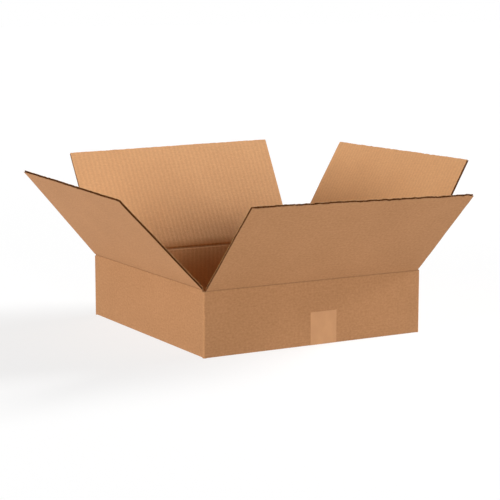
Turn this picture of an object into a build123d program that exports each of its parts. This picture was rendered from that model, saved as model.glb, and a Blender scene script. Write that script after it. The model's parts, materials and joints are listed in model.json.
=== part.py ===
from build123d import *

# Open corrugated shipping box: a square regular slotted container that stands on its taped
# bottom with its four top flaps open. Millimetres, +Z up. The origin is on the underside, at
# the middle of the square. The front wall faces -Y and the left wall faces -X.
#
# The blank is single-wall board, two flat liners glued to a fluted medium, and the flutes run
# up the walls and on into the flaps. The front and back flaps are the inner pair: they fold
# first. The left and right flaps are the outer pair, which fold over them. The walls and the
# bottom flaps stay one folded sheet. Each top flap turns on its score.

import os
from dataclasses import dataclass
from math import cos, radians, sin, tan

# ---- driving dimensions -------------------------------------------------------------------

side = 414.0  # outer width of the square box
board = 4.0  # thickness of the board over both liners
liner = 0.35  # each flat liner
medium = 0.3  # the fluted sheet between them
flute_pitch = 8.7
flank_angle = 60.0  # slope of a flute's straight flank, in degrees

inner_score_height = 107.2  # hinge line of the front and back flaps, above the underside
meeting_gap = 1.1  # between two flaps' free edges where they meet over the middle
slot_width = 9.2  # cut between two neighbouring walls' scores, centred on the corner
end_clear = 0.3  # from each end of a top flap to the board beside its score

inner_axis_depth = -0.15  # hinge line inside the outer face: the inner pair turn just outside it
outer_axis_depth = 1.3  # the outer pair turn inside the crushed board
tip_gap = 0.2  # from the hinge line to each edge of the score
bevel_ease = 1.5  # angle left free at each bevelled face of a score, in degrees
closed_inner = 93.0  # fold from upright to shut: the inner pair dip a little
closed_outer = 88.5  # the outer pair lie on them
open_limit = 120.0  # from upright, down towards the surface that the box stands on

layer_gap = 0.25  # between the two layers of bottom flaps
fold_radius = 3.0  # outside of the folds at the corners and at the outer bottom flaps
bead_radius = 1.5  # outside of the folds at the inner bottom flaps
fold_solid = 1.5  # board crushed solid past a fold
corner_solid = 5.5  # board crushed solid beside each corner

tab_width = 35.0  # glued tab of the maker's joint, inside the back wall
tab_taper = 9.0  # how much shorter each end of the tab is at its free edge
tab_clear = 8.0  # from the tab to the score above it and to the flap below it
joint_gap = 0.5  # the back wall's cut edge stops short of the right wall's outer face

tape_width = 50.0
tape_thickness = 0.15
tape_offset = 15.2  # the tape's middle, to the right of the seam
tape_front = 55.6  # how far it runs up the front wall
tape_back = 52.0  # and up the back wall
tooth_pitch = 2.5  # teeth that the dispenser's blade leaves
tooth_depth = 0.9

# ---- worked-out values --------------------------------------------------------------------

half = side / 2
# The step between the two scores lets the outer pair close on top of the inner pair.
outer_score_height = inner_score_height + board - (outer_axis_depth - inner_axis_depth)
underside = tape_thickness  # the board stands on the tape
lower_layer = underside + board  # top of the outer bottom flaps
upper_layer = lower_layer + layer_gap  # underside of the inner bottom flaps
floor_top = upper_layer + board
wall_flutes_from = floor_top + fold_solid
wall_top = inner_score_height - tip_gap  # the slots are cut down to here


@dataclass(frozen=True)
class Panel:
    """One wall and its two flaps. Turn is about Z from the front wall, in degrees."""

    name: str
    turn: float
    score_height: float
    axis_depth: float
    closed: float
    rest: float  # how far the top flap leans out from upright, in degrees
    far_trim: float = 0.0  # extra cut at the flap's end where the maker's joint is

    @property
    def low_end(self):
        return -half + slot_width / 2

    @property
    def high_end(self):
        return half - slot_width / 2 - self.far_trim

    @property
    def length(self):
        """From the hinge line to the top flap's free edge."""
        return half - self.axis_depth - meeting_gap / 2


panels = [
    Panel("front", 0, inner_score_height, inner_axis_depth, closed_inner, rest=45.6),
    Panel("left", -90, outer_score_height, outer_axis_depth, closed_outer, rest=42.2),
    Panel("back", 180, inner_score_height, inner_axis_depth, closed_inner, rest=31.4),
    Panel("right", 90, outer_score_height, outer_axis_depth, closed_outer, 29.9, board),
]

# ---- board --------------------------------------------------------------------------------


def cavity(index):
    """Hollow number index beside the fluted medium, in section: X across the flutes, Y from
    the board's outer face to its inner face. Even hollows lie on the outer liner."""
    height = board - 2 * liner - medium
    slope = radians(flank_angle)
    middle = flute_pitch / 2 - medium / sin(slope)
    base = (middle + height / tan(slope)) / 2
    top = (middle - height / tan(slope)) / 2
    shoulder = (top * (1 + cos(slope)), height - top * sin(slope))
    points = [(base, 0), shoulder, (0, height), (-shoulder[0], shoulder[1]), (-base, 0)]
    centre = index * flute_pitch / 2
    if index % 2:
        points = [(centre + x, board - liner - y) for x, y in points]
    else:
        points = [(centre + x, liner + y) for x, y in points]
    edges = [
        Line(points[0], points[1]),
        ThreePointArc(points[1], points[2], points[3]),
        Line(points[3], points[4]),
        Line(points[4], points[0]),
    ]
    return Wire([e.edge() for e in edges]), base


def cavities_between(low, high):
    """Every hollow that lies whole between two places across the flutes."""
    base = cavity(0)[1]
    step = flute_pitch / 2
    first = int((low + base) // step) + 1
    last = int((high - base) // step)
    return [cavity(k)[0] for k in range(first, last + 1)]


def fluted_slab(low, high, length):
    """Board with its flutes along +Z, its outer face at Y 0 and its inner face at Y board.
    It runs past low and high, so that a cut there opens the flutes as a knife does."""
    spare = 2 * flute_pitch
    outline = Wire.make_polygon(
        [
            (low - spare, 0),
            (high + spare, 0),
            (high + spare, board),
            (low - spare, board),
        ]
    )
    section = Face(outline, cavities_between(low - spare, high + spare))
    return extrude(section, amount=length)


def across(points, low, high):
    """Prism of a (depth, height) outline, from low to high along X."""
    face = Plane.YZ * make_face(Polyline(*points, close=True))
    return Pos(low, 0, 0) * extrude(face, amount=high - low)


# ---- scores -------------------------------------------------------------------------------


def score_edge(panel):
    """Corners of the bevelled edge at a score, as (depth, distance from the hinge line). The
    bevels leave the flap clear of the wall all the way from open to shut."""
    shut_bevel = tan(radians(panel.closed / 2 + bevel_ease))
    open_bevel = tan(radians(open_limit / 2 + bevel_ease))
    depth = panel.axis_depth
    inner_corner = (board, tip_gap + (board - depth) * shut_bevel)
    if depth > 0:
        return [(0, tip_gap + depth * open_bevel), (depth, tip_gap), inner_corner]
    return [(0, tip_gap - depth * shut_bevel), inner_corner]


# ---- walls and bottom ---------------------------------------------------------------------


def turned(panel, shape):
    """Takes a shape modelled at the front wall round to the panel's own wall."""
    return Rot(0, 0, panel.turn) * shape


def wall_outline():
    """Plan of the four walls, closed at the maker's joint, with the outside corners round."""
    inside = half - board
    outline = Polygon(
        (-half, -half),
        (half, -half),
        (half, inside),
        (half - joint_gap, inside),
        (half - joint_gap, half),
        (-half, half),
        align=None,
    )
    folds = [v for v in outline.vertices() if v.X == -half or v.Y == -half]
    outline = fillet(folds, fold_radius)
    # The fourth fold leads into the tab, behind the back wall's cut edge.
    bend = Pos(half - fold_radius, inside - fold_radius) * Circle(fold_radius)
    notch = Pos(half - joint_gap, inside - fold_radius) * Rectangle(
        joint_gap, fold_radius, align=Align.MIN
    )
    return outline - (notch - bend) - Rectangle(2 * inside, 2 * inside)


def walls():
    """The four walls: flutes from above the bottom folds to the scores, solid below."""
    plan = wall_outline().face()
    hollows = []
    for panel in panels:
        low = -half + corner_solid
        high = half - corner_solid - panel.far_trim
        for wire in cavities_between(low, high):
            hollows.append(turned(panel, Pos(0, -half, 0) * wire))
    fluted = Face(plan.outer_wire(), [*plan.inner_wires(), *hollows])
    made = Pos(0, 0, wall_flutes_from) * extrude(fluted, wall_top - wall_flutes_from)
    made += Pos(0, 0, underside) * extrude(plan, wall_flutes_from - underside)
    for panel in panels:
        height = panel.score_height - tip_gap - wall_top
        if height > 0:
            made += turned(panel, wall_strip(panel, height))
        made -= turned(panel, score_cut(panel))
    return made


def wall_strip(panel, height):
    """The top of a wall between its slots, where its score is higher than the slots' ends."""
    strip = Pos(0, -half, 0) * fluted_slab(panel.low_end, panel.high_end, height)
    room = Pos(panel.low_end, -half, 0) * Box(
        panel.high_end - panel.low_end, board, height, align=(Align.MIN,) * 3
    )
    return Pos(0, 0, wall_top) * (strip & room)


def score_cut(panel):
    """What is taken off a wall's top edge to leave the bevels of its score."""
    edge = [(-half + d, panel.score_height - z) for d, z in score_edge(panel)]
    over = panel.score_height + board
    points = [
        (-half - board, edge[0][1]),
        *edge,
        (-half + board + fold_solid, edge[-1][1]),
        (-half + board + fold_solid, over),
        (-half - board, over),
    ]
    return across(points, panel.low_end, panel.high_end)


def bottom_flap(panel, level):
    """A shut bottom flap whose underside is at level, from inside the wall to the seam."""
    start = board - liner
    length = half - meeting_gap / 2 - start
    slab = fluted_slab(panel.low_end, panel.high_end, length)
    room = Pos(panel.low_end, 0, 0) * Box(
        panel.high_end - panel.low_end, board, length, align=(Align.MIN,) * 3
    )
    # The slab's outer face turns down, and its flutes turn in towards the seam.
    lying = Pos(0, -half + start, level + board) * Rot(-90, 0, 0) * (slab & room)
    return turned(panel, lying)


def fold_cut(panel, level):
    """What the fold at a wall's foot lacks of a square corner. An outer flap's fold is
    round. An inner flap's fold is a bead that slopes up to the flap."""
    outer_face, foot = -half, underside
    if level == underside:
        square = Pos(0, outer_face, foot) * Box(
            panel.high_end - panel.low_end,
            2 * fold_radius,
            2 * fold_radius,
        )
        bar = Pos(0, outer_face + fold_radius, foot + fold_radius) * Rot(0, 90, 0)
        round_bar = bar * Cylinder(fold_radius, side)
        middle = (panel.high_end + panel.low_end) / 2
        return turned(panel, Pos(middle, 0, 0) * (square - round_bar))
    end = outer_face + slot_width / 2 - layer_gap
    slope = [
        (outer_face + bead_radius, foot - board),
        (end + board, foot - board),
        (end + board, level),
        (end, level),
        (outer_face + bead_radius, foot),
    ]
    cut = across(slope, panel.low_end, panel.high_end)
    square = Pos(0, outer_face, foot) * Box(side, 2 * bead_radius, 2 * bead_radius)
    bar = Pos(0, outer_face + bead_radius, foot + bead_radius) * Rot(0, 90, 0)
    return turned(panel, cut) + turned(panel, square - bar * Cylinder(bead_radius, side))


def glue_tab():
    """Tab of the maker's joint: it carries on from the right wall and is glued inside the
    back wall, with its free corners cut away."""
    low, high = floor_top + tab_clear, inner_score_height - board - tab_clear
    root, free = half - board, half - board - tab_width
    slab = fluted_slab(free, root, high - low)
    outline = make_face(
        Polyline(
            (root, 0),
            (root, high - low),
            (free, high - low - tab_taper),
            (free, tab_taper),
            close=True,
        )
    )
    trim = Pos(0, board, 0) * extrude(Plane.XZ * outline, amount=board)
    return Pos(0, half - 2 * board, low) * (slab & trim)


def box_body():
    """Walls, four bottom flaps and glued tab: one folded sheet."""
    made = walls()
    for panel in panels:
        inner = panel.score_height == inner_score_height
        level = upper_layer if inner else underside
        made = made + bottom_flap(panel, level) - fold_cut(panel, level)
    return made + glue_tab()


# ---- top flaps and tape -------------------------------------------------------------------


def top_flap(panel):
    """A top flap at rest, leaning out from its score."""
    edge = score_edge(panel)
    outline = [*edge, (board, panel.length), (0, panel.length)]
    trim = across(outline, panel.low_end + end_clear, panel.high_end - end_clear)
    upright = fluted_slab(panel.low_end, panel.high_end, panel.length) & trim
    leaning = Rot(panel.rest, 0, 0) * Pos(0, -panel.axis_depth, 0) * upright
    return turned(panel, Pos(0, -half + panel.axis_depth, panel.score_height) * leaning)


def toothed_end(height, face_y):
    """Cutter with teeth for the tape's end on a wall, above height."""
    count = round(tape_width / tooth_pitch)
    step = tape_width / count
    start = tape_offset - tape_width / 2
    points = [(start - step, height + board), (start - step, height)]
    for k in range(count):
        points += [(start + k * step, height), (start + (k + 0.5) * step, height - tooth_depth)]
    end = start + tape_width
    points += [(end, height), (end + step, height), (end + step, height + board)]
    face = Plane.XZ * make_face(Polyline(*points, close=True))
    return Pos(0, face_y + board, 0) * extrude(face, amount=2 * board)


def seam_tape():
    """Tape over the bottom seam, with both ends turned up on to the front and back walls."""
    top = max(tape_front, tape_back)
    outer = half + tape_thickness

    def shell(reach, foot, radius):
        points = [(-reach, foot), (reach, foot), (reach, 2 * top), (-reach, 2 * top)]
        face = make_face(Polyline(*points, close=True))
        feet = [v for v in face.vertices() if v.Y < top]
        return extrude(Plane.YZ * fillet(feet, radius), amount=tape_width)

    strip = shell(outer, 0, bead_radius + tape_thickness)
    strip -= shell(half, underside, bead_radius)
    strip = Pos(tape_offset - tape_width / 2, 0, 0) * strip
    for height, face_y in ((tape_front, -half), (tape_back, half)):
        above = Pos(tape_offset, face_y, height) * Box(
            2 * tape_width, 2 * board, 4 * top, align=(Align.CENTER, Align.CENTER, Align.MIN)
        )
        strip = strip - above - toothed_end(height, face_y)
    return strip


# ---- build --------------------------------------------------------------------------------

os.makedirs("parts", exist_ok=True)
nodes = {"box_body": box_body(), "seam_tape": seam_tape()}
for panel in panels:
    nodes[f"{panel.name}_flap"] = top_flap(panel)
for name, shape in nodes.items():
    export_step(shape, f"parts/{name}.step")
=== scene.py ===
"""Open corrugated shipping box: its boards, corners, tape, finishes and studio.

Each side of the box is one run of board, from the bottom flap up the wall and over the score
to the top flap. One flute's width of each of its three sheets is drawn upright, folded at the
foot and repeated along the side. The top flap is warped, frayed and twisted while it stands,
then folded over its score, and the side is last turned round to its place.
Metres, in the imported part's frame.
"""

import json
import logging
import math
from dataclasses import dataclass, field
from enum import Enum
from typing import Any, Callable

import bpy
import numpy as np
from mathutils import Matrix, Vector


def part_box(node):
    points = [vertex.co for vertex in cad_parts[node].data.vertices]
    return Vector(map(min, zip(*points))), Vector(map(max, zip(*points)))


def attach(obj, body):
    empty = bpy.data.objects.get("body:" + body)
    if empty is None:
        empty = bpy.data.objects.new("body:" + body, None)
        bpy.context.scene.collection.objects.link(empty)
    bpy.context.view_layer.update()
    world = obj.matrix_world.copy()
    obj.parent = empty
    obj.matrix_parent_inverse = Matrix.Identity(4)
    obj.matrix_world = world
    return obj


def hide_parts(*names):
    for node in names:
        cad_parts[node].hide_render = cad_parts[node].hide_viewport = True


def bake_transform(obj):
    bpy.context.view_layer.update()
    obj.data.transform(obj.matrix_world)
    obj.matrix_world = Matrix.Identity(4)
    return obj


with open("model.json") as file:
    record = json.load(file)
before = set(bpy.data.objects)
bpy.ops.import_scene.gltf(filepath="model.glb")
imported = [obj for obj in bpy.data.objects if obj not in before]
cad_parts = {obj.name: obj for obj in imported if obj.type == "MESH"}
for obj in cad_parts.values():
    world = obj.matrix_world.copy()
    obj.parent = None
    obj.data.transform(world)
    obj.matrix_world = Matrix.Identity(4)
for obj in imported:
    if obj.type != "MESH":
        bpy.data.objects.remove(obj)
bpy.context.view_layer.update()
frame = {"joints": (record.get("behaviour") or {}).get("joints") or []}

MM = 0.001
OPEN_LIMIT = 120.0  # every flap opens this far from upright, in degrees
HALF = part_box("box_body")[1].y  # from the middle to a wall's outer face
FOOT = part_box("box_body")[0].z  # underside of the board, which stands on the tape
MEETING_GAP = 1.1 * MM  # between two flaps that meet over the middle
END = 4.9 * MM  # from a corner to the ends of the runs of board beside it
EDGE_SHARP = 40.0  # edges that turn by more than this many degrees stay sharp
ARC_STEPS = 6  # in every quarter turn
TINY = 0.001 * MM  # within which two places are the same

log = logging.getLogger("box")


def report(piece: bpy.types.Object) -> None:
    """Logs a finished piece."""
    log.info("%s: %d faces", piece.name, len(piece.data.polygons))


def ramp(distance: float, length: float) -> float:
    """Rises straight from 0 at the start to 1 after a length."""
    return min(1.0, max(0.0, distance / length))


class Finish(Enum):
    """Surfaces of the board, in the order of a piece's material slots."""

    OUTER = 0
    INNER = 1
    CUT = 2


class Side(Enum):
    """The four sides, each with its turn about Z from the front, in degrees."""

    FRONT = 0
    RIGHT = 90
    BACK = 180
    LEFT = -90

    @property
    def flap(self) -> str:
        """The CAD node and body of this side's top flap."""
        return f"{self.name.lower()}_flap"

    @property
    def joint(self) -> dict[str, Any]:
        """The hinge of this side's top flap."""
        return next(j for j in frame["joints"] if j["child"] == self.flap)

    @property
    def hinge(self) -> tuple[float, float]:
        """The hinge line's place out from the middle, and its height."""
        x, y, z = self.joint["pos_m"]
        return math.hypot(x, y), z

    @property
    def lean(self) -> float:
        """How far the top flap leans out from upright at rest, in degrees."""
        return OPEN_LIMIT - self.joint["range_deg"][1]

    @property
    def folds_first(self) -> bool:
        """Whether this side's flaps are the inner pair, which fold before the others."""
        return self in (Side.FRONT, Side.BACK)

    @property
    def turn(self) -> Matrix:
        """Takes a point at the front round to this side."""
        return Matrix.Rotation(math.radians(self.value), 4, "Z")


# ---- shader maths -------------------------------------------------------------------------


class Number:
    """A shader socket that carries a number, with its arithmetic."""

    def __init__(self, graph: "Graph", socket: bpy.types.NodeSocket) -> None:
        """Wraps one output socket of a graph's node."""
        self.graph = graph
        self.socket = socket

    def math(self, operation: str, *others: "Number | float", first: bool = True) -> "Number":
        """Adds a Math node.

        Args:
            operation: The node's operation.
            others: Its other inputs.
            first: Whether this number is the first input, or the second.

        Returns:
            What the node gives.
        """
        inputs = [self, *others] if first else [*others, self]
        node = self.graph.node("ShaderNodeMath", {"operation": operation}, dict(enumerate(inputs)))
        return Number(self.graph, node.outputs[0])

    def __add__(self, other: "Number | float") -> "Number":
        """The sum."""
        return self.math("ADD", other)

    __radd__ = __add__

    def __mul__(self, other: "Number | float") -> "Number":
        """The product."""
        return self.math("MULTIPLY", other)

    def __sub__(self, other: "Number | float") -> "Number":
        """The difference."""
        return self.math("SUBTRACT", other)

    def __rsub__(self, other: float) -> "Number":
        """The difference, from a plain number."""
        return self.math("SUBTRACT", other, first=False)

    def sine(self) -> "Number":
        """The sine, of radians."""
        return self.math("SINE")

    def size(self) -> "Number":
        """The absolute value."""
        return self.math("ABSOLUTE")

    def step(self, low: float, high: float) -> "Number":
        """Rises smoothly from 0 at low to 1 at high.

        Args:
            low: Where the rise starts.
            high: Where it ends.

        Returns:
            The share of the rise.
        """
        node = self.graph.node(
            "ShaderNodeMapRange",
            {"interpolation_type": "SMOOTHSTEP"},
            {"Value": self, "From Min": low, "From Max": high},
        )
        return Number(self.graph, node.outputs["Result"])


@dataclass(frozen=True)
class Grain:
    """A pattern of soft lumps on a sheet."""

    across: float  # lumps to the metre, across the flutes
    along: float  # and along them
    detail: float


class Graph:
    """A node tree under construction, with one way to add a node."""

    def __init__(self, owner: bpy.types.Material | bpy.types.World) -> None:
        """Starts the nodes of a new material or world, which holds its one shader.

        Args:
            owner: The new material or world.
        """
        owner.use_nodes = True
        self.owner = owner
        self.tree = owner.node_tree
        self.shader = next(n for n in self.tree.nodes if "Surface" not in n.inputs)

    def node(
        self,
        kind: str,
        settings: dict[str, Any] | None = None,
        sockets: dict[str | int, Any] | None = None,
    ) -> bpy.types.Node:
        """Adds a node.

        Args:
            kind: The node's type.
            settings: Its settings, which are set before its sockets.
            sockets: A value, a Number or a socket for each input, by name or index.

        Returns:
            The node.
        """
        node = self.tree.nodes.new(kind)
        for name, value in (settings or {}).items():
            setattr(node, name, value)
        for name, value in (sockets or {}).items():
            self.plug(node.inputs[name], value)
        return node

    def plug(self, target: bpy.types.NodeSocket, value: Any) -> None:
        """Links a socket or a Number to an input, or sets the input to a plain value.

        Args:
            target: The input.
            value: What goes in.
        """
        if isinstance(value, Number):
            value = value.socket
        if isinstance(value, bpy.types.NodeSocket):
            self.tree.links.new(value, target)
        else:
            target.default_value = value

    def sheet(self) -> tuple[bpy.types.NodeSocket, Number, Number]:
        """Reads the sheet's own coordinates.

        Returns:
            The coordinates as a vector, then across the flutes and along them.
        """
        socket = self.node("ShaderNodeUVMap", {"uv_map": "sheet"}).outputs["UV"]
        parts = self.node("ShaderNodeSeparateXYZ", sockets={0: socket})
        return socket, Number(self, parts.outputs["X"]), Number(self, parts.outputs["Y"])

    def noise(self, at: bpy.types.NodeSocket, grain: Grain) -> Number:
        """Noise over the sheet, about 0.5.

        Args:
            at: Where to read it.
            grain: Its pattern.

        Returns:
            The noise.
        """
        stretch = (grain.across, grain.along, 1.0)
        spot = self.node("ShaderNodeMapping", sockets={"Vector": at, "Scale": stretch})
        node = self.node(
            "ShaderNodeTexNoise",
            {"noise_dimensions": "2D"},
            {"Vector": spot.outputs[0], "Scale": 1.0, "Detail": grain.detail},
        )
        return Number(self, node.outputs["Fac"])

    def mix(self, share: Number, low: Any, high: Any) -> bpy.types.NodeSocket:
        """Adds a colour between two colours.

        Args:
            share: Where it lies between them.
            low: The colour at 0.
            high: The colour at 1.

        Returns:
            The mixed colour.
        """
        node = self.node(
            "ShaderNodeMix", {"data_type": "RGBA"}, {"Factor": share, 6: low, 7: high}
        )
        return node.outputs[2]

    def shade(self, colour: bpy.types.NodeSocket, light: Number) -> bpy.types.NodeSocket:
        """Makes a colour lighter or darker.

        Args:
            colour: The colour.
            light: What its channels are multiplied by.

        Returns:
            The new colour.
        """
        node = self.node(
            "ShaderNodeVectorMath", {"operation": "SCALE"}, {"Vector": colour, "Scale": light}
        )
        return node.outputs[0]

    def bump(self, height: Number, depth: float) -> None:
        """Raises the surface.

        Args:
            height: How far, as a share of the depth.
            depth: The most that it is raised, in metres.
        """
        node = self.node("ShaderNodeBump", sockets={"Height": height, "Distance": depth})
        self.plug(self.shader.inputs["Normal"], node.outputs[0])


@dataclass(frozen=True)
class Dressing:
    """A finish between a pale and a deep tone."""

    name: str
    pale: tuple[float, float, float, float]
    deep: tuple[float, float, float, float]

    def dress(self, graph: Graph) -> None:
        """Lays the nodes of this finish into a graph.

        Args:
            graph: The nodes of the finish's material.
        """
        raise NotImplementedError

    def make(self) -> None:
        """Builds the material."""
        self.dress(Graph(bpy.data.materials.new(self.name)))


@dataclass(frozen=True)
class Kraft(Dressing):
    """Brown liner paper: mottled, with short fibres across the flutes and a few dark specks."""

    flute_shade: float  # painted shade: how strongly the flutes show through as light and dark stripes
    clouds: Grain = Grain(11, 14, 2.0)
    lumps: Grain = Grain(230, 300, 3.0)
    streaks: Grain = Grain(55, 620, 3.0)
    fibres: Grain = Grain(900, 3200, 4.0)
    specks: Grain = Grain(900, 1500, 1.0)
    cloud: float = 0.5  # strength of the slow changes of tone
    mottle: float = 1.6  # of the small lumps
    streak: float = 0.8  # of the short streaks across the flutes
    fibre: float = 0.6
    speck_levels: tuple[float, float] = (0.70, 0.78)  # where their pattern turns into specks
    score_shade: float = 0.25  # painted shade in the score's crease: how much darker it is
    score_shade_width: tuple[float, float] = (0.4 * MM, 1.8 * MM)  # half width of the painted shade at the score, inside and outside
    speck: float = 0.22  # how much darker the specks are
    wander: float = 1.2  # how far the flutes stray from straight, in radians of a flute
    roughness: float = 0.86
    scatter: float = 0.1  # of the roughness, among the lumps
    specular: float = 0.22
    relief: float = 0.16 * MM
    fibre_rise: float = 0.7  # share of the relief by which the fibres stand out
    lump_rise: float = 0.5

    def dress(self, graph: Graph) -> None:
        """Lays the nodes of this finish into a graph.

        Args:
            graph: The nodes of the finish's material.
        """
        at, across, along = graph.sheet()
        clouds = graph.noise(at, self.clouds)
        lumps = graph.noise(at, self.lumps)
        streaks = graph.noise(at, self.streaks)
        fibres = graph.noise(at, self.fibres)
        specks = graph.noise(at, self.specks).step(*self.speck_levels)
        # Painted shade: light and dark stripes along the flutes stand in for the shade of the
        # liner's sag between them.
        ripple = (clouds - 0.5) * self.wander
        flutes = (across * (2 * math.pi / BOARD.pitch) + ripple).math("COSINE")
        grain = (lumps - 0.5) * self.mottle + (streaks - 0.5) * self.streak
        share = grain + (clouds - 0.5) * self.cloud + (fibres - 0.5) * self.fibre + 0.5
        colour = graph.mix(share, self.deep, self.pale)
        # The map's V is a whole number at the score, where a thin line of painted shade darkens
        # the crease.
        from_score = (along + 0.5).math("FRACT") - 0.5
        score = 1 - from_score.size().step(*self.score_shade_width)
        light = 1.0 + flutes * self.flute_shade - score * self.score_shade - specks * self.speck
        graph.plug(graph.shader.inputs["Base Color"], graph.shade(colour, light))
        rough = self.roughness + (lumps - 0.5) * self.scatter
        graph.plug(graph.shader.inputs["Roughness"], rough)
        graph.shader.inputs["Specular IOR Level"].default_value = self.specular
        graph.bump(fibres * self.fibre_rise + lumps * self.lump_rise, self.relief)


@dataclass(frozen=True)
class RawEdge(Dressing):
    """The medium, the backs of the liners and every cut edge: fibrous, and dark partly in the
    paper's own tone and partly with painted shade of the hollows between the flutes.
    """

    lumps: float = 900.0  # to the metre
    detail: float = 4.0
    levels: tuple[float, float] = (0.3, 0.7)  # where the noise is all deep, and all pale
    roughness: float = 0.88
    scatter: float = 0.1  # of the roughness
    specular: float = 0.05
    relief: float = 0.2 * MM

    def dress(self, graph: Graph) -> None:
        """Lays the nodes of this finish into a graph.

        Args:
            graph: The nodes of the finish's material.
        """
        at = graph.node("ShaderNodeTexCoord").outputs["Object"]
        fine = graph.node(
            "ShaderNodeTexNoise",
            sockets={"Vector": at, "Scale": self.lumps, "Detail": self.detail},
        )
        fibres = Number(graph, fine.outputs["Fac"])
        colour = graph.mix(fibres.step(*self.levels), self.deep, self.pale)
        graph.plug(graph.shader.inputs["Base Color"], colour)
        rough = self.roughness + fibres * self.scatter
        graph.plug(graph.shader.inputs["Roughness"], rough)
        graph.shader.inputs["Specular IOR Level"].default_value = self.specular
        graph.bump(fibres, self.relief)


@dataclass(frozen=True)
class PackingTape(Dressing):
    """Tan tape with a soft shine, through which the flutes press faintly."""

    patches: Grain = Grain(60, 40, 3.0)
    grit: Grain = Grain(1400, 1400, 3.0)
    patch_tone: float = 1.4  # strength of the large uneven patches
    grit_tone: float = 0.5
    roughness: float = 0.42
    scatter: float = 0.16  # of the roughness, among the patches
    relief: float = 0.2 * MM
    patch_rise: float = 0.8  # share of the relief by which the patches stand out
    grit_rise: float = 0.15
    flute_rise: float = 0.12

    def dress(self, graph: Graph) -> None:
        """Lays the nodes of this finish into a graph.

        Args:
            graph: The nodes of the finish's material.
        """
        at, across, _ = graph.sheet()
        patches = graph.noise(at, self.patches)
        grit = graph.noise(at, self.grit)
        share = (patches - 0.5) * self.patch_tone + (grit - 0.5) * self.grit_tone + 0.5
        colour = graph.mix(share, self.deep, self.pale)
        graph.plug(graph.shader.inputs["Base Color"], colour)
        rough = self.roughness + patches * self.scatter
        graph.plug(graph.shader.inputs["Roughness"], rough)
        flutes = (across * (2 * math.pi / BOARD.pitch)).sine()
        height = patches * self.patch_rise + grit * self.grit_rise + flutes * self.flute_rise
        graph.bump(height, self.relief)


# ---- board --------------------------------------------------------------------------------


@dataclass(frozen=True)
class Board:
    """Single-wall corrugated board in section."""

    thickness: float = 4.0 * MM
    liner: float = 0.35 * MM
    medium: float = 0.3 * MM
    pitch: float = 8.7 * MM
    inner_sag: float = 0.11 * MM  # how far the inner liner sinks between two flutes
    outer_sag: float = 0.05 * MM
    third_harmonic: float = 0.1  # sharpens the flanks of the flutes

    def inner_face(self) -> list[tuple[float, float]]:
        """One flute's width of the inner liner's face, glued to the medium at its two ends.

        Returns:
            Points across the flutes and in from the outer face.
        """
        steps = 6
        turns = [k / steps for k in range(steps + 1)]
        sags = [self.inner_sag * (1 - math.cos(2 * math.pi * t)) / 2 for t in turns]
        return [(self.pitch * t, self.thickness - sag) for t, sag in zip(turns, sags)]

    def outer_face(self) -> list[tuple[float, float]]:
        """One flute's width of the outer liner's face, glued to the medium at its middle.

        Returns:
            Points across the flutes and in from the outer face.
        """
        steps = 4
        turns = [k / steps for k in range(steps + 1)]
        sags = [self.outer_sag * (1 + math.cos(2 * math.pi * t)) / 2 for t in turns]
        return [(self.pitch * t, sag) for t, sag in zip(turns, sags)]

    def wave(self) -> list[tuple[float, float]]:
        """One flute's width of the medium, along its middle.

        Returns:
            Points across the flutes and in from the outer face.
        """
        steps = 10
        reach = (self.thickness - self.medium) / 2 - self.liner
        points = []
        for k in range(steps + 1):
            phase = 2 * math.pi * k / steps
            shape = math.cos(phase) - self.third_harmonic * math.cos(3 * phase)
            depth = self.thickness / 2 + reach * shape / (1 - self.third_harmonic)
            points.append((self.pitch * k / steps, depth))
        return points


BOARD = Board()
# Painted shade of the flutes is faint on the outer liner and stronger on the inner one.
KRAFT_OUTER = Kraft(
    "kraft_outer", (0.427, 0.211, 0.094, 1), (0.339, 0.162, 0.068, 1), flute_shade=0.006
)
KRAFT_INNER = Kraft(
    "kraft_inner", (0.665, 0.367, 0.175, 1), (0.580, 0.309, 0.143, 1), flute_shade=0.03
)
# Its deep tones are partly the paper's own and partly painted shade of the hollows between the
# flutes.
RAW_EDGE = RawEdge("raw_edge", (0.23, 0.088, 0.028, 1), (0.10, 0.034, 0.010, 1))
TAPE_FILM = PackingTape("tape_film", (0.51, 0.253, 0.105, 1), (0.437, 0.208, 0.084, 1))


# ---- workbench ----------------------------------------------------------------------------


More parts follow.
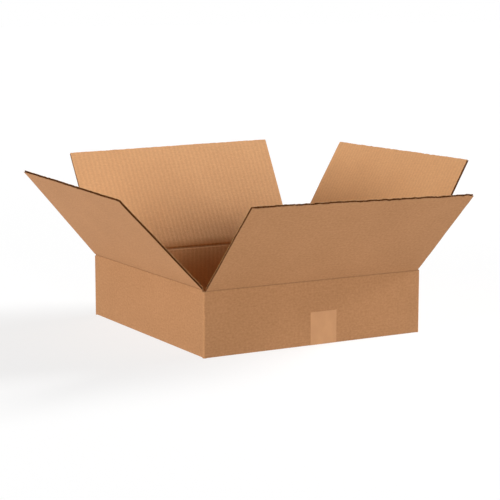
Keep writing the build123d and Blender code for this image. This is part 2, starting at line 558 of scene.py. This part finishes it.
class Bench:
    """Hand tools: each acts on one object, which is left in object mode."""

    @staticmethod
    def hold(piece: bpy.types.Object) -> None:
        """Selects one object alone and makes it active.

        Args:
            piece: The object.
        """
        bpy.ops.object.select_all(action="DESELECT")
        piece.select_set(True)
        bpy.context.view_layer.objects.active = piece

    @staticmethod
    def points(piece: bpy.types.Object) -> np.ndarray:
        """Reads where an object's vertices are.

        Args:
            piece: The object.

        Returns:
            One row of x, y and z for each vertex.
        """
        flat = np.empty(len(piece.data.vertices) * 3)
        piece.data.vertices.foreach_get("co", flat)
        return flat.reshape(-1, 3)

    @staticmethod
    def corners(piece: bpy.types.Object) -> np.ndarray:
        """Reads which vertex is at each corner of an object's faces.

        Args:
            piece: The object.

        Returns:
            The vertices' indices, face by face.
        """
        corners = np.empty(len(piece.data.loops), int)
        piece.data.loops.foreach_get("vertex_index", corners)
        return corners

    @staticmethod
    def coat(piece: bpy.types.Object, *finishes: Dressing) -> None:
        """Fills the object's material slots in the order of the finishes."""
        for finish in finishes:
            piece.data.materials.append(bpy.data.materials[finish.name])

    @staticmethod
    def pick(piece: bpy.types.Object, chosen: np.ndarray) -> None:
        """Opens the object in edit mode with just the chosen vertices selected.

        Args:
            piece: The object to edit.
            chosen: One truth value for each vertex.
        """
        Bench.hold(piece)
        bpy.ops.object.mode_set(mode="EDIT")
        bpy.ops.mesh.select_mode(type="VERT")
        bpy.ops.mesh.select_all(action="DESELECT")
        bpy.ops.object.mode_set(mode="OBJECT")
        piece.data.vertices.foreach_set("select", chosen)
        bpy.ops.object.mode_set(mode="EDIT")

    @staticmethod
    def pick_all(piece: bpy.types.Object) -> None:
        """Opens the object in edit mode with everything selected.

        Args:
            piece: The object to edit.
        """
        Bench.hold(piece)
        bpy.ops.object.mode_set(mode="EDIT")
        bpy.ops.mesh.select_mode(type="VERT")
        bpy.ops.mesh.select_all(action="SELECT")

    @staticmethod
    def put_down() -> None:
        """Goes back to object mode."""
        bpy.ops.object.mode_set(mode="OBJECT")

    @staticmethod
    def turn(
        piece: bpy.types.Object, chosen: np.ndarray, degrees: float, about: str, at: Vector
    ) -> None:
        """Turns the chosen vertices by the right-hand rule.

        Args:
            piece: The object to edit.
            chosen: One truth value for each vertex.
            degrees: How far to turn.
            about: The axis: X, Y or Z.
            at: A point on the axis.
        """
        Bench.pick(piece, chosen)
        # With no window the operator turns the other way.
        bpy.ops.transform.rotate(
            value=math.radians(-degrees),
            orient_axis=about,
            orient_type="GLOBAL",
            center_override=at,
        )
        Bench.put_down()

    @staticmethod
    def place(piece: bpy.types.Object, where: Matrix) -> None:
        """Moves the whole object and leaves its place in its mesh.

        Args:
            piece: The object.
            where: Its new place.
        """
        Bench.hold(piece)
        piece.matrix_world = where
        bpy.ops.object.transform_apply(location=True, rotation=True, scale=True)

    @staticmethod
    def finish(piece: bpy.types.Object, kind: str, **settings: Any) -> None:
        """Adds a modifier with its settings and applies it.

        Args:
            piece: The object to change.
            kind: The modifier's type.
            settings: Values of the modifier.
        """
        Bench.hold(piece)
        modifier = piece.modifiers.new(kind.title(), kind)
        for name, value in settings.items():
            setattr(modifier, name, value)
        bpy.ops.object.modifier_apply(modifier=modifier.name)

    @staticmethod
    def join(pieces: list[bpy.types.Object], name: str) -> bpy.types.Object:
        """Joins objects into one.

        Args:
            pieces: The objects.
            name: What the joined object is called.

        Returns:
            The joined object.
        """
        Bench.hold(pieces[0])
        for piece in pieces:
            piece.select_set(True)
        bpy.ops.object.join()
        pieces[0].name = pieces[0].data.name = name
        return pieces[0]

    @staticmethod
    def copy(piece: bpy.types.Object, name: str, where: Matrix) -> bpy.types.Object:
        """Copies an object with its own mesh and puts the copy in place.

        Args:
            piece: The object to copy.
            name: What the copy is called.
            where: Where the copy goes, from where the object is.

        Returns:
            The copy.
        """
        Bench.hold(piece)
        bpy.ops.object.duplicate(linked=False)
        other = bpy.context.object
        other.name = other.data.name = name
        Bench.place(other, where)
        return other

    @staticmethod
    def strip(section: list[tuple[float, float]], low: float, high: float) -> bpy.types.Object:
        """Draws an upright strip: a plane over the plan's first two points, extruded on.

        Args:
            section: Plan of the strip, as points (x, y).
            low: Height of the strip's lower edge.
            high: Height of its upper edge.

        Returns:
            The strip, whose faces look to the right of the way it is drawn.
        """
        (x0, y0), (x1, y1) = section[:2]
        bpy.ops.object.select_all(action="DESELECT")
        bpy.ops.mesh.primitive_plane_add(size=1.0)
        piece = bpy.context.object
        piece.rotation_euler = (math.pi / 2, 0, math.atan2(y1 - y0, x1 - x0))
        piece.scale = (math.hypot(x1 - x0, y1 - y0), high - low, 1)
        piece.location = ((x0 + x1) / 2, (y0 + y1) / 2, (low + high) / 2)
        bpy.ops.object.transform_apply(location=True, rotation=True, scale=True)
        Bench.pick(piece, np.hypot(*(Bench.points(piece)[:, :2] - (x1, y1)).T) < TINY)
        for (ax, ay), (bx, by) in zip(section[1:-1], section[2:]):
            bpy.ops.mesh.extrude_region_move(
                TRANSFORM_OT_translate={"value": (bx - ax, by - ay, 0)}
            )
        Bench.put_down()
        return piece

    @staticmethod
    def rows(piece: bpy.types.Object, heights: list[float]) -> None:
        """Cuts level rows of vertices into the object.

        Args:
            piece: The object.
            heights: The rows' heights.
        """
        Bench.pick_all(piece)
        for height in heights:
            bpy.ops.mesh.select_all(action="SELECT")
            bpy.ops.mesh.bisect(plane_co=(0, 0, height), plane_no=(0, 0, 1))
        Bench.put_down()

    @staticmethod
    def trim(
        piece: bpy.types.Object, at: tuple[float, float, float], away: tuple[float, float, float]
    ) -> None:
        """Cuts off what lies beyond a plane.

        Args:
            piece: The object to cut.
            at: A point on the plane.
            away: The plane's normal, towards what is cut off.
        """
        Bench.pick_all(piece)
        bpy.ops.mesh.bisect(plane_co=at, plane_no=away, clear_outer=True)
        Bench.put_down()

    @staticmethod
    def weigh(piece: bpy.types.Object, name: str, weight: Callable[[Vector], float]) -> str:
        """Adds a vertex group.

        Args:
            piece: The object.
            name: What the group is called.
            weight: Gives a vertex's weight from its place.

        Returns:
            The group's name.
        """
        group = piece.vertex_groups.new(name=name)
        for vertex in piece.data.vertices:
            share = weight(vertex.co)
            if share > 0:
                group.add([vertex.index], share, "REPLACE")
        return group.name

    @staticmethod
    def lay_out(
        piece: bpy.types.Object, spot: Callable[[np.ndarray], tuple[np.ndarray, np.ndarray]]
    ) -> None:
        """Writes the sheet's own coordinates to the UV map that the finishes read.

        Args:
            piece: The object.
            spot: Gives the coordinates across and along the flutes of rows of points.
        """
        layers = piece.data.uv_layers
        layer = layers[0] if layers else layers.new()
        layer.name = "sheet"
        flat = np.column_stack(spot(Bench.points(piece)[Bench.corners(piece)]))
        layer.data.foreach_set("uv", flat.ravel().astype(np.float32))

    @staticmethod
    def smooth(piece: bpy.types.Object, degrees: float) -> None:
        """Shades the object smooth, but for edges sharper than this."""
        Bench.hold(piece)
        bpy.ops.object.shade_smooth_by_angle(angle=math.radians(degrees))


# ---- runs of board ------------------------------------------------------------------------


@dataclass(frozen=True)
class Fold:
    """A level fold across a run of board, which turns what lies beyond it."""

    height: float  # of the axis, before folding
    depth: float  # of the axis, in from the outer face
    angle: float  # by the right-hand rule about X, in degrees
    above: bool  # what turns: the board above the axis, or below it
    crush: float  # share of the board's thickness left at the axis
    centre: float = 0.0  # the depth to which the board is crushed
    rows: int = 4
    spread: float = 0.12 * MM  # between the rows that share the turn
    ease: tuple[float, ...] = (2.2 * MM, 4.8 * MM)  # out to the whole board

    def steps(self) -> list[float]:
        """Places the rows that share the turn.

        Returns:
            Their heights, from the still side on.
        """
        way = 1 if self.above else -1
        middle = (self.rows - 1) / 2
        return [self.height + way * (k - middle) * self.spread for k in range(self.rows)]

    def heights(self) -> list[float]:
        """Heights of all the rows that the fold needs."""
        return [*self.steps(), *(self.height + way * e for way in (-1, 1) for e in self.ease)]

    def share(self, height: float) -> float:
        """How much of the board's thickness is left at a height."""
        near = max(0.0, 1 - abs(height - self.height) / self.ease[-1])
        return 1 - (1 - self.crush) * near * near * (3 - 2 * near)


@dataclass
class Run:
    """A run of corrugated board that stands with its outer face to the front."""

    name: str
    left: float
    right: float
    low: float
    high: float
    score: float  # height of the top flap's score
    number: int  # gives each run its own part of every pattern
    folds: list[Fold] = field(default_factory=list)
    rows: list[float] = field(default_factory=list)
    outer_depth: float = 0.0  # of its outer face, in from the walls' outer faces
    closest: float = 0.05 * MM  # rows nearer than this to the row below are left out
    margin: float = 0.3 * MM  # and those nearer than this to an end
    whole: float = 0.999  # a row that keeps more than this share of its thickness isn't crushed

    @property
    def face(self) -> float:
        """Y of the outer face."""
        return -HALF + self.outer_depth

    def heights(self) -> list[float]:
        """Gathers the rows between the two ends, but for those too close to another.

        Returns:
            Their heights, upwards.
        """
        marks = {*self.rows, *(h for fold in self.folds for h in fold.heights())}
        kept: list[float] = []
        for height in sorted(marks):
            clear = not kept or height - kept[-1] > self.closest
            if clear and self.low + self.margin < height < self.high - self.margin:
                kept.append(height)
        return kept

    def make(self) -> bpy.types.Object:
        """Makes the run of its three sheets.

        Returns:
            The run, folded but for its top flap.
        """
        outer = self.sheet(BOARD.outer_face(), BOARD.liner, Finish.OUTER)
        inner = self.sheet(BOARD.inner_face(), BOARD.liner, Finish.INNER)
        medium = self.sheet(BOARD.wave(), BOARD.medium, Finish.CUT)
        piece = Bench.join([outer, inner, medium], self.name)
        Bench.smooth(piece, EDGE_SHARP)
        return piece

    def sheet(
        self, section: list[tuple[float, float]], thickness: float, finish: Finish
    ) -> bpy.types.Object:
        """Makes one sheet of the board: one flute's width of it, repeated and cut to width.

        Args:
            section: One flute's width of the sheet.
            thickness: Of the sheet.
            finish: Of its exposed face and its edges. Its back is raw.

        Returns:
            The sheet.
        """
        first = math.floor(self.left / BOARD.pitch)
        count = math.ceil(self.right / BOARD.pitch) - first
        plan = [(first * BOARD.pitch + x, self.face + y) for x, y in section]
        piece = Bench.strip(plan, self.low, self.high)
        Bench.rows(piece, self.heights())
        if finish is Finish.INNER:
            Bench.pick_all(piece)
            bpy.ops.mesh.flip_normals()
            Bench.put_down()
        Bench.lay_out(piece, lambda p: (p[:, 0], p[:, 2] - self.score + self.number))
        self.crush(piece)
        for fold in sorted((f for f in self.folds if not f.above), key=lambda f: f.height):
            self.bend(piece, fold)
        Bench.finish(
            piece,
            "ARRAY",
            count=count,
            use_relative_offset=False,
            use_constant_offset=True,
            constant_offset_displace=(BOARD.pitch, 0, 0),
            use_merge_vertices=True,
            merge_threshold=10 * TINY,
            offset_u=BOARD.pitch,
        )
        Bench.trim(piece, (self.left, 0, 0), (-1, 0, 0))
        Bench.trim(piece, (self.right, 0, 0), (1, 0, 0))
        Bench.coat(piece, KRAFT_OUTER, KRAFT_INNER, RAW_EDGE)
        faces = [finish.value] * len(piece.data.polygons)
        piece.data.polygons.foreach_set("material_index", faces)
        Bench.finish(
            piece,
            "SOLIDIFY",
            thickness=thickness,
            offset=0.0 if finish is Finish.CUT else -1.0,
            use_even_offset=True,
            thickness_clamp=0.0,
            material_offset=Finish.CUT.value - finish.value,
        )
        return piece

    def crush(self, piece: bpy.types.Object) -> None:
        """Presses the board thin at its folds.

        Args:
            piece: The flat strip, with its rows.
        """
        heights = Bench.points(piece)[:, 2]
        for row in (self.low, *self.heights(), self.high):
            fold = min(self.folds, key=lambda f: f.share(row), default=None)
            if fold is None or fold.share(row) > self.whole:
                continue
            Bench.pick(piece, np.abs(heights - row) < TINY)
            bpy.ops.transform.resize(
                value=(1, fold.share(row), 1), center_override=(0, self.face + fold.centre, 0)
            )
            Bench.put_down()

    def bend(self, piece: bpy.types.Object, fold: Fold) -> None:
        """Turns the rows of a fold one after another, each with all that lies beyond it.

        Args:
            piece: The run, still flat beyond the fold's near side.
            fold: The fold.
        """
        place = self.place_along(piece)
        at = Vector((0, self.face + fold.depth, fold.height))
        for step in fold.steps():
            beyond = place > step - TINY if fold.above else place < step + TINY
            Bench.turn(piece, beyond, fold.angle / fold.rows, "X", at)

    def place_along(self, piece: bpy.types.Object) -> np.ndarray:
        """Finds where each vertex was before any folding, from the sheet's own coordinates.

        Args:
            piece: The run, or one flute's width of a sheet.

        Returns:
            The height of each vertex on the flat board.
        """
        corners = Bench.corners(piece)
        flat = np.empty(len(corners) * 2, np.float32)
        piece.data.uv_layers["sheet"].data.foreach_get("uv", flat)
        place = np.zeros(len(piece.data.vertices))
        place[corners] = flat[1::2].astype(float) + self.score - self.number
        return place


@dataclass
class SidePanel:
    """One side of the box: its bottom flap, wall and top flap in one run of board."""

    side: Side
    left_lean: float  # the top flap's own lean at its left and right ends, in degrees
    right_lean: float
    fray: float  # how far the free edge wanders
    side_fray: float = 1 / 3  # share of it by which the top flap's two ends wander
    fray_size: float = 12 * MM
    warp: float = 1.3 * MM
    warp_size: float = 130 * MM
    warp_start: float = 12 * MM  # from the score to where the top flap may stray
    warp_rise: float = 60 * MM  # and on to where it strays in full
    flap_rows: int = 12
    edge_row: float = 4 * MM  # from the free edge to the last row
    edge_reach: float = 1 * MM  # what lies this near to the free edge frays with it
    end_reach: float = 0.1 * MM  # and this near to the top flap's two ends
    head_crush: float = 0.38
    head_rows: int = 6
    head_ease: tuple[float, ...] = (0.9 * MM, 1.8 * MM, 3.0 * MM)
    head_centre: float = 1.0 * MM  # of the outer pair's head folds
    head_clear: float = 0.4 * MM  # from the inner pair's free edges to the middle
    half_blend: float = 1.8 * MM  # from the hinge to the points on either side where a bend there would start and end
    foot_bend: float = 3.0 * MM
    foot_crush: float = 0.7
    bead: float = 1.5 * MM  # radius at the foot of the upper layer's walls
    bead_turn: float = 146.0  # round the bead, in degrees
    bead_crush: float = 0.35
    bead_rise: float = 5.12 * MM  # along the board, from the bead to where it levels out
    level_crush: float = 0.75
    bottom_clear: float = 6.55 * MM  # what a bottom flap lacks of half the side

    def reach(self) -> tuple[float, float]:
        """Left and right ends of the run."""
        overlap = BOARD.thickness if self.side is Side.RIGHT else 0.0
        return -HALF + END, HALF - END - overlap

    def foot(self) -> list[Fold]:
        """Plans the folds at the foot of the wall, for its bottom flap.

        Returns:
            The folds.
        """
        if not self.side.folds_first:
            bend = self.foot_bend
            return [Fold(FOOT + bend, bend, 90.0, above=False, crush=self.foot_crush)]
        # The flap of the upper layer first turns in round a bead, then levels out above.
        start, back = FOOT + self.bead, 90.0 - self.bead_turn
        return [
            Fold(start, self.bead, self.bead_turn, above=False, crush=self.bead_crush),
            Fold(start - self.bead_rise, 0.0, back, above=False, crush=self.level_crush),
        ]

    def head(self) -> Fold:
        """Plans the fold of the top flap, about the hinge.

        Returns:
            The fold.
        """
        out, height = self.side.hinge
        depth, lean = HALF - out, self.side.lean
        centre = self.head_centre if depth > 0 else 0.0
        crush, rows, ease = self.head_crush, self.head_rows, self.head_ease
        return Fold(height, depth, lean, True, crush, centre, rows=rows, ease=ease)

    def length(self) -> float:
        """Measures the top flap.

        Returns:
            How far its free edge is from the hinge.
        """
        if self.side.folds_first:
            return HALF - self.head_clear
        return HALF - (MEETING_GAP / 2 + self.head().depth)

    def bottom(self) -> float:
        """Height of the bottom flap's free edge before folding."""
        return FOOT - (HALF - self.bottom_clear)

    def make(self) -> None:
        """Builds the side."""
        head = self.head()
        span = self.length()
        left, right = self.reach()
        flap_rows = [head.height + span * k / self.flap_rows for k in range(1, self.flap_rows)]
        run = Run(
            f"{self.side.name.lower()}_board",
            left,
            right,
            self.bottom(),
            head.height + span,
            head.height,
            list(Side).index(self.side) + 1,
            [*self.foot(), head],
            [*flap_rows, head.height + span - self.edge_row],
        )
        piece = run.make()
        self.wear(piece, run)
        self.twist(piece, run, flap_rows)
        run.bend(piece, head)
        Bench.place(piece, self.side.turn)
        self.hang(piece)
        report(piece)

    def wear(self, piece: bpy.types.Object, run: Run) -> None:
        """Warps the top flap a little and frays its free edges, while it stands upright.

        Args:
            piece: The side's board.
            run: Its sizes.
        """
        start = run.score + self.warp_start

        def on_edge(p: Vector) -> float:
            """1 on the free edge."""
            return float(p.z > run.high - self.edge_reach)

        def on_ends(p: Vector) -> float:
            """1 on the top flap's two ends."""
            from_end = min(p.x - run.left, run.right - p.x)
            return float(p.z > start and from_end < self.end_reach)

        flap = Bench.weigh(piece, "flap", lambda p: ramp(p.z - start, self.warp_rise))
        edge = Bench.weigh(piece, "edge", on_edge)
        ends = Bench.weigh(piece, "ends", on_ends)
        clouds = bpy.data.textures.new(f"{piece.name}_warp", "CLOUDS")
        clouds.noise_scale = self.warp_size
        fray = bpy.data.textures.new(f"{piece.name}_fray", "CLOUDS")
        fray.noise_scale = self.fray_size
        fray.noise_depth = 3
        for texture, group, direction, strength in (
            (clouds, flap, "Y", self.warp),
            (fray, edge, "Z", self.fray),
            (fray, ends, "X", self.fray * self.side_fray),
        ):
            Bench.finish(
                piece,
                "DISPLACE",
                texture=texture,
                vertex_group=group,
                direction=direction,
                strength=strength,
                mid_level=0.5,
            )
        piece.vertex_groups.clear()

    def twist(self, piece: bpy.types.Object, run: Run, rows: list[float]) -> None:
        """Turns the top flap row by row, so that its two ends lean by different angles.

        Args:
            piece: The side's board.
            run: Its sizes.
            rows: Heights at which the turn grows, before folding.
        """
        total = (self.left_lean - self.right_lean) / 2 * self.length() / run.right
        place = run.place_along(piece)
        at = Vector((0, run.face + BOARD.thickness / 2, 0))
        for row in rows:
            Bench.turn(piece, place > row - TINY, total / len(rows), "Z", at)

    def hang(self, piece: bpy.types.Object) -> None:
        """Works out where a bend at the hinge would start and end, leaves the side's place in its
        mesh and hides the CAD top flap.

        Args:
            piece: The side's board, in its place.
        """
        out, height = self.side.hinge
        lean = math.radians(self.side.lean / 2)
        way = Vector((0, -math.sin(lean), math.cos(lean))) * self.half_blend
        hinge = Vector((0, -out, height))
        start, end = (self.side.turn @ (hinge + sign * way) for sign in (-1, 1))
        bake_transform(piece)
        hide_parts(self.side.flap)


# ---- corners and the maker's joint --------------------------------------------------------


@dataclass
class Corners:
    """The four upright edges of the box, and the joint at the last of them."""

    top: float = 107.0 * MM
    bend: float = 3.0 * MM  # radius of the outer liner round a corner
    tab_width: float = 35.0 * MM
    tab_taper: float = 9.0 * MM
    tab_low: float = 16.25 * MM  # from the underside up to the glue tab
    tab_high: float = 11.8 * MM  # from the tab up to the top
    joint_gap: float = 0.5 * MM
    skin: float = 2 * MM  # a face deeper than this below the outer faces is an inner face
    number: int = 6  # gives the pieces, from this number on, their own part of every pattern

    def arc(self, x: float, y: float, start: float) -> list[tuple[float, float]]:
        """A quarter turn to the left about a point, in plan.

        Args:
            x: Of the middle.
            y: Of the middle.
            start: Where it starts, in degrees.

        Returns:
            Its points.
        """
        turns = [math.radians(start + 90.0 * k / ARC_STEPS) for k in range(ARC_STEPS + 1)]
        return [(x + self.bend * math.cos(t), y + self.bend * math.sin(t)) for t in turns]

    def post(self, name: str, plan: list[tuple[float, float]], number: int) -> bpy.types.Object:
        """Draws an upright post with its two ends closed.

        Args:
            name: What the post is called.
            plan: Its outline, turning to the left all the way round.
            number: Its own part of every pattern.

        Returns:
            The post.
        """
        piece = Bench.strip([*plan, plan[0]], FOOT, self.top)
        piece.name = piece.data.name = name
        Bench.pick_all(piece)
        bpy.ops.mesh.remove_doubles(threshold=TINY)
        for height in (FOOT, self.top):
            Bench.put_down()
            Bench.pick(piece, np.abs(Bench.points(piece)[:, 2] - height) < TINY)
            bpy.ops.mesh.edge_face_add()
        bpy.ops.mesh.select_all(action="SELECT")
        bpy.ops.mesh.normals_make_consistent(inside=False)
        Bench.put_down()
        Bench.lay_out(piece, lambda p: (p[:, 0] + p[:, 1], p[:, 2] - self.top + number))
        Bench.coat(piece, KRAFT_OUTER, KRAFT_INNER, RAW_EDGE)
        for face in piece.data.polygons:
            inward = face.center.x < HALF - self.skin and face.center.y > -HALF + self.skin
            level = abs(face.normal.z) > 0.5
            kind = Finish.CUT if level else Finish.INNER if inward else Finish.OUTER
            face.material_index = kind.value
        Bench.smooth(piece, EDGE_SHARP)
        return piece

    def bent_corner(self) -> list[bpy.types.Object]:
        """Makes one corner where the board bends, and copies it to the two others.

        Returns:
            The three corners.
        """
        edge, inside = HALF, HALF - BOARD.thickness
        plan = [
            (HALF - END, -edge),
            *self.arc(edge - self.bend, -edge + self.bend, -90.0),
            (edge, -HALF + END),
            (inside, -HALF + END),
            (inside, -inside),
            (HALF - END, -inside),
        ]
        first = self.post("corner_front_right", plan, self.number)
        return [
            first,
            Bench.copy(first, "corner_front_left", Side.LEFT.turn),
            Bench.copy(first, "corner_back_left", Side.BACK.turn),
        ]

    def joint(self) -> list[bpy.types.Object]:
        """Makes the joint at the last corner.

        Returns:
            The fold's post, the back wall's cut end and the glue tab.
        """
        edge, inside = HALF, HALF - BOARD.thickness
        post = self.post(
            "joint_fold",
            [
                (edge, inside - END),
                *self.arc(edge - self.bend, inside - self.bend, 0.0),
                (inside, inside),
                (inside, inside - END),
            ],
            self.number + 1,
        )
        left, top = -HALF + self.joint_gap, self.top
        end = Run("back_wall_end", left, -HALF + END, FOOT, top, top, self.number + 2).make()
        left, right = -inside, -inside + self.tab_width
        low, high = FOOT + self.tab_low, top - self.tab_high
        depth = BOARD.thickness
        tab = Run("glue_tab", left, right, low, high, top, self.number + 3, outer_depth=depth)
        tab = tab.make()
        for z, way in ((low, -1), (high, 1)):
            at = (right, 0, z - way * self.tab_taper)
            Bench.pick_all(tab)
            bpy.ops.mesh.bisect(
                plane_co=at,
                plane_no=(self.tab_taper, 0, way * self.tab_width),
                clear_outer=True,
                use_fill=True,
            )
            Bench.put_down()
        for piece in (end, tab):
            Bench.place(piece, Side.BACK.turn)
        return [post, end, tab]

    def make(self) -> None:
        """Builds every corner piece and fixes it to the box."""
        pieces = [*self.bent_corner(), *self.joint()]
        for piece in pieces:
            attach(piece, "box")
            report(piece)
        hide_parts("box_body")


# ---- tape ---------------------------------------------------------------------------------


@dataclass
class SeamTape:
    """The tape over the seam of the bottom flaps, which runs a little way up two walls."""

    thickness: float = 0.15 * MM
    bead: float = 1.5 * MM  # radius of the wall's foot, which the tape follows
    step: float = 4.0 * MM  # between the rows along the tape
    tooth_pitch: float = 2.5 * MM
    tooth_depth: float = 0.9 * MM
    wrinkle: float = 0.18 * MM
    wrinkle_size: float = 14 * MM
    wrinkle_level: float = 0.3  # share of their pattern that lies in the tape's own face
    wrinkle_start: float = 6 * MM  # height where the wrinkles start
    wrinkle_rise: float = 6 * MM  # and on to where they are in full
    back_end: float = 52.0 * MM  # height of the tape's end on the back wall
    number: float = 10.3  # gives it its own part of every pattern

    def path(self, front: float, back: float) -> list[tuple[float, float]]:
        """The tape's outer face from end to end, as points out from the middle and up.

        Args:
            front: Height of its end on the front wall.
            back: Height of its end on the back wall.

        Returns:
            The points.
        """
        out = HALF + self.thickness
        bend = self.bead + self.thickness
        turns = [math.radians(90.0 * k / ARC_STEPS) for k in range(ARC_STEPS + 1)]

        def up(top: float) -> list[float]:
            """Heights from the tape's end down to the foot's bend."""
            count = round((top - bend) / self.step)
            return [top + (bend - top) * k / count for k in range(count)]

        def corner(sign: int) -> list[tuple[float, float]]:
            """Points round the foot's bend, downwards."""
            arc = [(out - bend + bend * math.cos(t), bend - bend * math.sin(t)) for t in turns]
            return [(sign * y, z) for y, z in arc]

        across = 2 * (out - bend)
        count = round(across / (3 * self.step))
        level = [(-out + bend + across * k / count, 0.0) for k in range(1, count)]
        return [
            *((-out, z) for z in up(front)),
            *corner(-1),
            *level,
            *reversed(corner(1)),
            *((out, z) for z in reversed(up(back))),
        ]

    def make(self) -> None:
        """Builds the tape."""
        low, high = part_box("seam_tape")
        width = high.x - low.x
        middle = (low.x + high.x) / 2
        path = np.array(self.path(high.z, self.back_end))
        half_tooth = self.tooth_pitch / 2
        teeth = round(width / half_tooth)
        rows = [-width / 2 + k * half_tooth for k in range(1, teeth)]
        piece = Bench.strip(path, -width / 2, width / 2)
        Bench.rows(piece, rows)
        lengths = np.cumsum([0.0, *(math.dist(a, b) for a, b in zip(path, path[1:]))])
        Bench.lay_out(
            piece,
            lambda p: (
                p[:, 2] + middle,
                self.number + lengths[[np.hypot(*(path - q).T).argmin() for q in p[:, :2]]],
            ),
        )
        points = Bench.points(piece)
        number = np.rint((points[:, 2] + width / 2) / half_tooth)
        for y, z in (path[0], path[-1]):
            at_end = np.hypot(points[:, 0] - y, points[:, 1] - z) < TINY
            Bench.pick(piece, at_end & (number % 2 == 1))
            bpy.ops.transform.translate(value=(0, -self.tooth_depth, 0))
            Bench.put_down()
        # What was across, up and along the strip becomes out, up and across the box.
        turned = Matrix(((0, 0, 1, middle), (1, 0, 0, 0), (0, 1, 0, 0), (0, 0, 0, 1)))
        Bench.place(piece, turned)
        self.rumple(piece)
        Bench.coat(piece, TAPE_FILM)
        Bench.finish(piece, "SOLIDIFY", thickness=self.thickness, offset=-1.0)
        Bench.smooth(piece, EDGE_SHARP)
        piece.name = piece.data.name = "seam_tape_film"
        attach(piece, "box")
        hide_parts("seam_tape")
        report(piece)

    def rumple(self, piece: bpy.types.Object) -> None:
        """Lifts small wrinkles in the tape where it runs up the walls.

        Args:
            piece: The tape, still without thickness.
        """
        group = Bench.weigh(
            piece, "walls", lambda p: ramp(p.z - self.wrinkle_start, self.wrinkle_rise)
        )
        wrinkles = bpy.data.textures.new("tape_wrinkles", "CLOUDS")
        wrinkles.noise_scale = self.wrinkle_size
        Bench.finish(
            piece,
            "DISPLACE",
            texture=wrinkles,
            vertex_group=group,
            strength=self.wrinkle,
            mid_level=self.wrinkle_level,
        )
        piece.vertex_groups.clear()


# ---- studio -------------------------------------------------------------------------------


@dataclass(frozen=True)
class Lamp:
    """A soft light from far away."""

    name: str
    energy: float
    tilt: float  # from overhead, in degrees
    turn: float  # from the front towards the right, in degrees
    spread: float  # in degrees, which softens its shadows

    def make(self) -> None:
        """Hangs the light."""
        turned = (math.radians(self.tilt), 0, math.radians(self.turn))
        bpy.ops.object.light_add(type="SUN", rotation=turned)
        sun = bpy.context.object
        sun.name = self.name
        sun.data.energy = self.energy
        sun.data.angle = math.radians(self.spread)


@dataclass
class Studio:
    """Pale floor, soft light and the camera."""

    azimuth: float = -29.68
    elevation: float = 8.89
    distance: float = 2.7705
    target: tuple[float, float, float] = (-0.0054, 0.0, 0.1295)
    lens: float = 115.1
    sensor: float = 36.0  # width, in millimetres as the lens is
    horizon: float = 1.0  # brightness of the foot of the studio's walls
    zenith: float = 0.04  # and of its ceiling, into which they fade through a haze
    haze: tuple[float, float] = (0.0, 0.28)  # sines of the elevations where it starts and ends
    floor_size: float = 60.0
    floor_drop: float = 0.1 * MM  # below the tape
    floor_tone: float = 0.20
    floor_roughness: float = 0.9
    floor_specular: float = 0.1
    glow: float = 0.80  # of the floor
    lamps: tuple[Lamp, ...] = (
        Lamp("key", energy=5.6, tilt=65, turn=88, spread=22),
        Lamp("side", energy=2.8, tilt=84, turn=-75, spread=20),
        Lamp("front", energy=0.7, tilt=80, turn=-8, spread=10),
    )

    def floor(self) -> None:
        """Lays a wide pale floor under the box, which glows a little."""
        bpy.ops.object.select_all(action="DESELECT")
        bpy.ops.mesh.primitive_plane_add(size=self.floor_size, location=(0, 0, -self.floor_drop))
        floor = bpy.context.object
        Bench.place(floor, floor.matrix_world.copy())
        floor.name = "floor"
        graph = Graph(bpy.data.materials.new("floor_paper"))
        for name, value in (
            ("Base Color", (*[self.floor_tone] * 3, 1)),
            ("Roughness", self.floor_roughness),
            ("Specular IOR Level", self.floor_specular),
            ("Emission Color", (1, 1, 1, 1)),
            ("Emission Strength", self.glow),
        ):
            graph.plug(graph.shader.inputs[name], value)
        floor.data.materials.append(graph.owner)

    def lights(self) -> None:
        """Sets up bright walls, a dim ceiling and the soft lights."""
        world = bpy.data.worlds.new("studio")
        graph = Graph(world)
        way = graph.node("ShaderNodeTexCoord").outputs["Generated"]
        height = graph.node("ShaderNodeSeparateXYZ", sockets={0: way}).outputs["Z"]
        share = Number(graph, height).step(*self.haze)
        strength = self.horizon + share * (self.zenith - self.horizon)
        graph.plug(graph.shader.inputs["Color"], (1, 1, 1, 1))
        graph.plug(graph.shader.inputs["Strength"], strength)
        bpy.context.scene.world = world
        for lamp in self.lamps:
            lamp.make()

    def camera(self) -> None:
        """Puts the camera at its angle and aims it."""
        az, el = math.radians(self.azimuth), math.radians(self.elevation)
        back = Vector((math.sin(az) * math.cos(el), -math.cos(az) * math.cos(el), math.sin(el)))
        bpy.ops.object.camera_add(location=Vector(self.target) + back * self.distance)
        camera = bpy.context.object
        camera.rotation_euler = back.to_track_quat("Z", "Y").to_euler()
        camera.data.lens = self.lens
        camera.data.sensor_width = self.sensor
        camera.data.clip_end = 100.0
        bpy.context.scene.camera = camera

    def make(self) -> None:
        """Sets up the whole studio."""
        self.floor()
        self.lights()
        self.camera()
        bpy.context.scene.view_settings.view_transform = "Standard"
        log.info("studio is set")


def main() -> None:
    """Builds the box, the tape and the studio."""
    for finish in (KRAFT_OUTER, KRAFT_INNER, RAW_EDGE, TAPE_FILM):
        finish.make()
    for panel in (
        SidePanel(Side.FRONT, left_lean=44.5, right_lean=46.4, fray=5.0 * MM),
        SidePanel(Side.RIGHT, left_lean=29.5, right_lean=29.7, fray=2.4 * MM),
        SidePanel(Side.BACK, left_lean=27.7, right_lean=32.3, fray=1.6 * MM),
        SidePanel(Side.LEFT, left_lean=40.8, right_lean=43.9, fray=2.8 * MM),
    ):
        panel.make()
    Corners().make()
    SeamTape().make()
    Studio().make()


if __name__ == "__main__":
    logging.basicConfig(level=logging.INFO)
    main()
